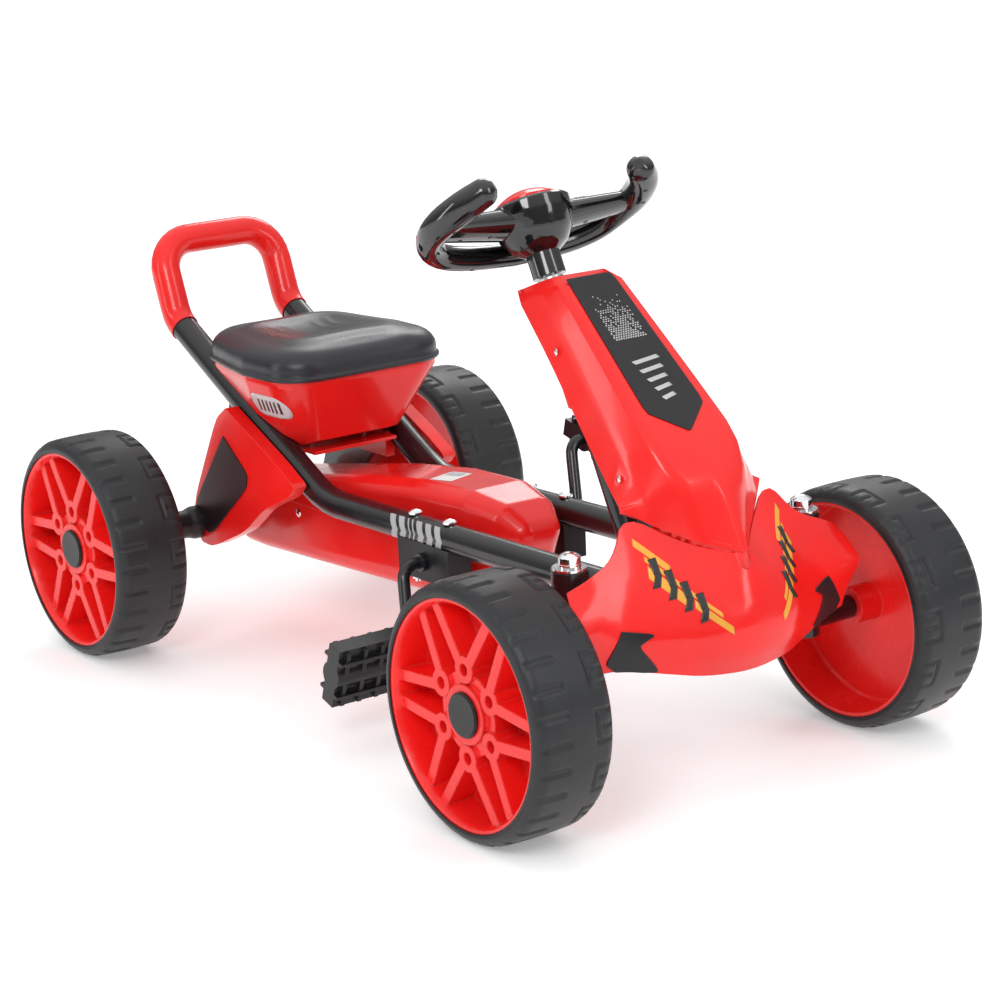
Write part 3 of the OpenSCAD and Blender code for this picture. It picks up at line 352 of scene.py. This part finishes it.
def make_tyre(node, body, side):
    """A treaded tyre in place of the node; its outer edge is on the side that side names."""
    low, high = (Vector(c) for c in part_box(node))
    mid = (low + high) / 2
    radius, half = (high.z - low.z) / 2, (high.x - low.x) / 2
    bore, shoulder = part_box(node.replace("tyre", "rim")), 0.0105
    rim = (bore[1][2] - bore[0][2]) / 2 + 0.00004
    turns, across = 480, 56
    profile = []
    for k in range(across + 1):
        u = -half + 2 * half * k / across
        edge = max(0.0, abs(u) - (half - shoulder))
        drop = shoulder - math.sqrt(max(0.0, shoulder ** 2 - edge ** 2))
        crown = 0.0012 * (u / half) ** 2
        profile.append((u, radius - crown - drop * 0.93))
    lip = [(half, radius - shoulder - 0.002), (half - 0.0006, rim + 0.0022), (half - 0.0022, rim + 0.0002)]
    section = [(-u, r) for u, r in lip[::-1]] + profile + lip
    verts, cols = [], len(section)
    for i in range(turns):
        turn = 2 * math.pi * i / turns
        for u, r in section:
            cut = tread(u, turn, half) if r > radius - shoulder * 0.9 else 0.0
            x = mid.x + side * u
            verts.append((x, mid.y + (r - cut) * math.sin(turn), mid.z + (r - cut) * math.cos(turn)))
    faces = grid_faces(turns, cols, wrap_rows=True, wrap_cols=True)
    if side > 0:
        faces = [f[::-1] for f in faces]
    obj = new_piece("tread_" + node[5:], verts, faces, LOOKS["tyre"], body)
    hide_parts(node)


# ---------- seat pad ----------

def hull_radius(circles, centre_y, angle):
    """Distance from the seat's middle to the edge of the outline round the circles, at an angle."""
    dx, dy = math.cos(angle), math.sin(angle)
    best = math.inf
    for k in range(180):
        a = 2 * math.pi * k / 180
        nx, ny = math.cos(a), math.sin(a)
        reach = max(x * nx + (y - centre_y) * ny + r for x, y, r in circles)
        across = dx * nx + dy * ny
        if across > 0.05:
            best = min(best, reach / across)
    return best


def make_seat():
    """A smooth seat pad with a dished top, in place of the faceted one."""
    low, high = (Vector(c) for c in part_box("seat_pad"))
    rear_y = centre("rear_axle").y
    circles = [(s * x, rear_y + y, r) for s in (-1, 1) for x, y, r in
               ((0.054, -0.146, 0.040), (0.058, -0.112, 0.038), (0.038, -0.041, 0.044))]
    mid_y, turns = (low.y + high.y) / 2, 160
    edge = [hull_radius(circles, mid_y, 2 * math.pi * k / turns) for k in range(turns)]
    # (height, inset) of each ring: lip, side, shoulder
    rings = [(0.0, 0.004), (0.0, 0.001), (0.0006, 0.0002), (0.0022, 0.0), (0.0036, 0.0004), (0.0042, 0.0022),
             (0.0052, 0.0028), (0.010, 0.0024), (0.015, 0.0034), (0.0195, 0.0062), (0.0232, 0.0104),
             (0.0258, 0.0156), (0.0272, 0.0215)]
    shoulder_z, shoulder_in = rings[-1]
    inner = 30
    verts = []
    for z, inset in rings:
        for k in range(turns):
            a = 2 * math.pi * k / turns
            r = edge[k] - inset
            verts.append((r * math.cos(a), mid_y + r * math.sin(a), low.z + z))
    for j in range(1, inner):
        share = j / inner
        for k in range(turns):
            a = 2 * math.pi * k / turns
            r = (edge[k] - shoulder_in) * (1 - share)
            x, y = r * math.cos(a), r * math.sin(a)
            z = shoulder_z + seat_top(x, y, share)
            verts.append((x, mid_y + y, low.z + z))
    top = len(verts)
    verts.append((0, mid_y, low.z + shoulder_z + seat_top(0, 0, 1)))
    bottom = len(verts)
    verts.append((0, mid_y, low.z))
    rows = len(rings) + inner - 1
    faces = grid_faces(rows, turns, wrap_cols=True)
    faces += [((rows - 1) * turns + k, (rows - 1) * turns + (k + 1) % turns, top) for k in range(turns)]
    faces += [((k + 1) % turns, k, bottom) for k in range(turns)]
    obj = new_piece("seat_cover", verts, faces, LOOKS["seat_black"], "chassis")
    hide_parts("seat_pad")


def seat_top(x, y, share):
    """Height of the seat's top above its shoulder: crowned at the back and front edge, dished between."""
    crown = 0.0045 * step(share, 0, 0.3)
    dish = -0.0075 * math.exp(-((y - 0.016) / 0.045) ** 2) * math.exp(-(x / 0.055) ** 2) * step(share, 0.05, 0.5)
    front = 0.0015 * math.exp(-((y + 0.055) / 0.03) ** 2) * math.exp(-(x / 0.05) ** 2)
    ridge = 0.0
    for s in (-1, 1):  # two swept flutes on each side of the middle
        for k in (0, 1):
            line = 0.014 + 0.014 * k + 2.2 * (y + 0.005) ** 2
            flute = math.exp(-((x * s - line) / 0.0026) ** 2)
            ridge += 0.0007 * flute * step(y, -0.045, -0.03) * (1 - step(y, 0.02, 0.045))
    return crown + dish + front + ridge


# ---------- decals: flat shapes laid on a surface ----------

def surface_of(name):
    mesh = nodes[name].data
    return BVHTree.FromPolygons([v.co.copy() for v in mesh.vertices], [tuple(p.vertices) for p in mesh.polygons])


def decal(name, shapes, look, origin, right, up, target, body, lift=DECAL_LIFT, cell=0.003):
    """Flat shapes, each a convex list of (right, up) points, laid on the target along -(right x up)."""
    skin = surface_of(target)
    origin, right, up = Vector(origin), Vector(right).normalized(), Vector(up).normalized()
    out = right.cross(up).normalized()
    verts, faces = [], []
    for shape in shapes:
        pts = [(Vector(p)) for p in shape]
        mid = sum(pts, Vector((0, 0))) / len(pts)
        size = max((p - mid).length for p in pts)
        rings = max(1, math.ceil(size / cell))
        rim = []
        for a, b in zip(pts, pts[1:] + pts[:1]):
            n = max(1, math.ceil((b - a).length / cell))
            rim += [a.lerp(b, i / n) for i in range(n)]
        start = len(verts)
        flat = [mid] + [mid.lerp(p, ring / rings) for ring in range(1, rings + 1) for p in rim]
        for p in flat:
            place = origin + right * p.x + up * p.y
            hit = skin.ray_cast(place + out * DECAL_START, -out, DECAL_REACH)[0]
            verts.append((place if hit is None else hit) + out * lift)
        n = len(rim)
        faces += [(start, start + 1 + k, start + 1 + (k + 1) % n) for k in range(n)]
        for ring in range(rings - 1):
            base = start + 1 + ring * n
            faces += [(base + k, base + n + k, base + n + (k + 1) % n, base + (k + 1) % n) for k in range(n)]
    obj = new_piece(name, verts, faces, look, body)
    thick = obj.modifiers.new("thickness", "SOLIDIFY")
    thick.thickness, thick.offset = lift * 0.6, -1


def bar_shape(x0, x1, y0, y1, lean=0.0):
    return [(x0 + lean * y0, y0), (x1 + lean * y0, y0), (x1 + lean * y1, y1), (x0 + lean * y1, y1)]


def make_nose_marks():
    """A slanted yellow band with dark slashes on each cheek of the nose."""
    yellow = finish("mark_yellow", (0.80, 0.36, 0.03), 0.3, tone=0.1, coat=0.3, edge=0.0002)
    dark = finish("mark_black", (0.012, 0.011, 0.011), 0.3, coat=0.3, edge=0.0002)
    front_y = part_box("nose_shell")[0][1]
    for s in (-1, 1):
        name = "right" if s < 0 else "left"
        place = (s * 0.060, front_y + 0.02, 0.182)
        right, up = Vector((-s * 0.86, -0.5, 0)), Vector((0, 0, 1))
        if s > 0:
            right = -right
        m = -s  # the band is mirrored on the left cheek, and runs down towards the middle of the nose
        slope = -0.026 / 0.034

        def quad(*points):
            return [(m * x, y) for x, y in points][::m]

        def band(x0, x1, y0, y1):
            return quad((x0, slope * x0 + y0), (x1, slope * x1 + y0), (x1, slope * x1 + y1), (x0, slope * x0 + y1))

        stripes = [band(-0.036, -0.008, 0.004, 0.0095), band(-0.028, 0.030, -0.001, 0.0025),
                   band(0.008, 0.038, -0.0085, -0.0025), band(-0.026, 0.004, -0.0115, -0.0030)]
        slashes = []
        for k in range(4):
            x = -0.020 + k * 0.0115
            y = slope * x
            slashes.append(quad((x - 0.0055, y + 0.006), (x - 0.001, y - 0.006), (x + 0.0045, y - 0.0055),
                                (x + 0.001, y + 0.007)))
            slashes.append(quad((x - 0.0035, y - 0.0145), (x + 0.003, y - 0.0135), (x + 0.0045, y - 0.0055),
                                (x - 0.001, y - 0.006)))
        decal(f"cheek_band_{name}", stripes, yellow, place, right, up, "nose_shell", "chassis")
        decal(f"cheek_slashes_{name}", slashes, dark, place, right, up, "nose_shell", "chassis",
              lift=DECAL_LIFT * OVERPRINT)


def make_console_dots():
    """A silver halftone patch near the top of the console's dark panel."""
    silver = finish("print_silver", (0.55, 0.55, 0.56), 0.35, metallic=0.3, edge=0.0001)
    low, high = (Vector(c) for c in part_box("console_panel"))
    top, foot = Vector((0, high.y, high.z)), Vector((0, low.y, low.z))
    pitch, rows, cols, sides = 0.0025, 26, 13, 8
    dots = []
    for i in range(rows):
        for j in range(cols):
            x = (j - (cols - 1) / 2 + (0.5 if i % 2 else 0)) * pitch
            scatter = math.sin(i * 12.9898 + j * 78.233) * 43758.5453
            scatter -= math.floor(scatter)
            if scatter < ((rows - i) / rows) ** 1.5 * 1.2:
                continue
            r = 0.00058 + 0.00036 * i / rows
            y = -0.014 - i * pitch * 0.87
            dots.append([(x + r * math.cos(2 * math.pi * k / sides), y + r * math.sin(2 * math.pi * k / sides))
                         for k in range(sides)])
    bars = []
    for k in range(5):  # slanted bars that grow shorter towards the foot
        y = -0.092 - 0.0095 * k
        wide = 0.0135 - 0.0017 * k
        bars.append([(-wide, y), (-wide + 0.002, y - 0.0035), (wide + 0.002, y - 0.0005), (wide, y + 0.003)][::-1])
    decal("panel_bars", bars, silver, top, (1, 0, 0), top - foot, "console_panel", "chassis",
          lift=DECAL_LIFT * 0.6)
    decal("panel_dots", dots, silver, top, (1, 0, 0), top - foot, "console_panel", "chassis",
          lift=DECAL_LIFT * 0.6)


def make_wheel_screws():
    """Sunk screw heads under the steering wheel's arms and rim."""
    hole = finish("screw_hole", (0.03, 0.03, 0.032), 0.45, edge=0.0001)
    low, high = (Vector(c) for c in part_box("horn_button"))
    lean = math.radians(26)
    across = Vector((0, -math.cos(lean), math.sin(lean)))
    under = Vector((1, 0, 0)).cross(across)
    spots = [(s * x, y) for s in (-1, 1) for x, y in ((0.050, 0.004), (0.078, 0.001), (0.098, 0.026), (0.088, 0.046),
                                                     (0.046, -0.040))]
    dots = [[(x + 0.0021 * math.cos(2 * math.pi * k / 12), y + 0.0021 * math.sin(2 * math.pi * k / 12))
             for k in range(12)] for x, y in spots]
    decal("wheel_screws", dots, hole, (low + high) / 2 + under * 0.03, (1, 0, 0), across, "steering_wheel",
          "steering", lift=DECAL_LIFT * 0.5)


def make_console_hem():
    """Hem that carries the console's skin down to the nose, with no gap between the two."""
    skin = surface_of("console_shell")
    low = Vector(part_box("console_shell")[0])
    middle = Vector((0, low.y + 0.07, 0))
    inset, lap, drop, wall = 0.0012, 0.004, 0.014, 0.0012
    look_up, step_z, reach = 0.06, 0.001, 0.3  # the edge is looked for from look_up above the lowest point
    least, slope_steps, widest = 12, 10, 70  # fewest steps of skin, steps the slope is taken over, degrees
    verts, faces = [], []
    for k in range(-widest, widest + 1, 2):
        a = math.radians(k)
        out = Vector((math.sin(a), -math.cos(a), 0))
        trail = []
        z = low.z + look_up
        while z > low.z - step_z:
            hit = skin.ray_cast(middle + out * reach + Vector((0, 0, z)), -out, reach)
            if hit[0] is None or hit[1].dot(out) <= 0:
                break
            trail.append(hit[0])
            z -= step_z
        if len(trail) < least:
            continue
        edge = trail[-1] - out * inset
        slope = (trail[-1] - trail[-slope_steps]).normalized()
        verts += [edge + Vector((0, 0, lap)), edge, edge + slope * drop]
    for r in range(len(verts) // 3 - 1):
        for i in (r * 3, r * 3 + 1):
            faces.append((i, i + 1, i + 4, i + 3))
    obj = new_piece("console_hem", verts, faces, LOOKS["red_plastic"], "chassis")
    thick = obj.modifiers.new("thickness", "SOLIDIFY")
    thick.thickness, thick.offset = wall, -1


def make_seat_badge():
    """An oval badge with slanted bars on each side of the seat tub."""
    pale = finish("badge_pale", (0.62, 0.60, 0.61), 0.35, coat=0.3, edge=0.0001)
    dark = finish("badge_dark", (0.03, 0.03, 0.032), 0.35, coat=0.3, edge=0.0001)
    low, high = (Vector(c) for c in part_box("seat_tub"))
    wide, tall = 0.030, 0.0115
    for s in (-1, 1):
        place = (s * (high.x + 0.01), low.y + 0.054, high.z - 0.029)
        right = (0, s, 0)
        oval = [(wide * 0.5 * (1 if math.cos(a) > 0 else -1) + tall * math.cos(a), tall * math.sin(a))
                for a in (2 * math.pi * (k + 0.5) / 36 for k in range(36))]
        side = "right" if s < 0 else "left"
        decal("seat_badge_" + side, [oval], pale, place, right, (0, 0, 1), "seat_tub", "chassis", cell=0.004)
        hatch = [bar_shape(x, x + 0.0026, -0.0062, 0.0062, lean=0.35)
                 for x in (-0.0155 + 0.0062 * k for k in range(6))]
        decal("seat_badge_hatch_" + side, hatch, dark, place, right, (0, 0, 1), "seat_tub", "chassis",
              lift=DECAL_LIFT * 1.8, cell=0.004)


def make_case_label():
    """A plain paper label on the chain case, with a grey block on it."""
    paper = finish("label_paper", (0.78, 0.77, 0.76), 0.5, coat=0.2, edge=0.0001)
    grey = finish("label_grey", (0.40, 0.42, 0.44), 0.5, edge=0.0001)
    place = (-0.006, 0.004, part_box("chain_case_upper")[1][2] + 0.02)
    right, up = (0.95, 0.3, 0), (-0.3, 0.95, 0)
    decal("case_label", [bar_shape(-0.016, 0.016, -0.012, 0.012)], paper, place, right, up,
          "chain_case_upper", "chassis", cell=0.004)
    decal("case_label_block", [bar_shape(0.002, 0.012, -0.008, 0.008)], grey, place, right, up,
          "chain_case_upper", "chassis", lift=DECAL_LIFT * 1.8, cell=0.004)


def make_rail_chevrons():
    """Grey chevrons printed on the outer side of each side tube, on its straight front stretch."""
    print_grey = finish("print_grey", (0.42, 0.42, 0.43), 0.4, edge=0.0001, tone=0.12)
    low, high = (Vector(c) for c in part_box("rail_left"))
    radius = 0.01305
    rail_x = (low.x + high.x) / 2
    front_y, bend_y = low.y + 0.001, 0.1240
    z0, z1 = 0.168, 0.1575  # the tube's height where the stretch starts and ends
    pitch, width, sliver, steps = 0.0135, 0.0085, 0.002, 14
    sink, proud = 0.0001, 0.00012
    for s in (-1, 1):
        verts, faces = [], []
        for k, solid in enumerate((1, 1, 0, 1, 1, 1)):
            at = -0.0065 - k * pitch
            pieces = [(at, at + width)] if solid else [(at, at + sliver), (at + width - sliver, at + width)]
            for y0, y1 in pieces:
                base = len(verts)
                for i in range(steps + 1):
                    angle = math.radians(-58 + 112 * i / steps)  # round the tube from below to above
                    bend = 0.009 * (1 - abs(i / steps - 0.5) * 2) - 0.0045
                    for y in (y0, y1):
                        yy = y - bend
                        t = (yy - front_y) / (bend_y - front_y)
                        z = z0 + (z1 - z0) * t
                        for r in (radius - sink, radius + proud):
                            verts.append((s * (rail_x + r * math.cos(angle)), yy, z + r * math.sin(angle)))
                for i in range(steps):
                    a, b = base + 4 * i, base + 4 * i + 4
                    ring = [(a + 1, a + 3, b + 3, b + 1), (a, b, b + 2, a + 2), (a, a + 1, b + 1, b),
                            (a + 2, b + 2, b + 3, a + 3)]
                    faces += ring if s < 0 else [f[::-1] for f in ring]
                e = base + 4 * steps
                caps = [(base, base + 2, base + 3, base + 1), (e, e + 1, e + 3, e + 2)]
                faces += caps if s < 0 else [f[::-1] for f in caps]
        new_piece("rail_print_" + ("right" if s < 0 else "left"), verts, faces, print_grey, "chassis", smooth=False)


make_camera()
make_floor()
make_lights()
dress_nodes()
for corner, body, side in (("front_left", "front_left_wheel", 1), ("front_right", "front_right_wheel", -1),
                           ("rear_left", "rear_left_wheel", 1), ("rear_right", "rear_drive", -1)):
    make_tyre("tyre_" + corner, body, side)
make_seat()
make_console_hem()
make_nose_marks()
make_console_dots()
make_rail_chevrons()
make_wheel_screws()
make_seat_badge()
make_case_label()
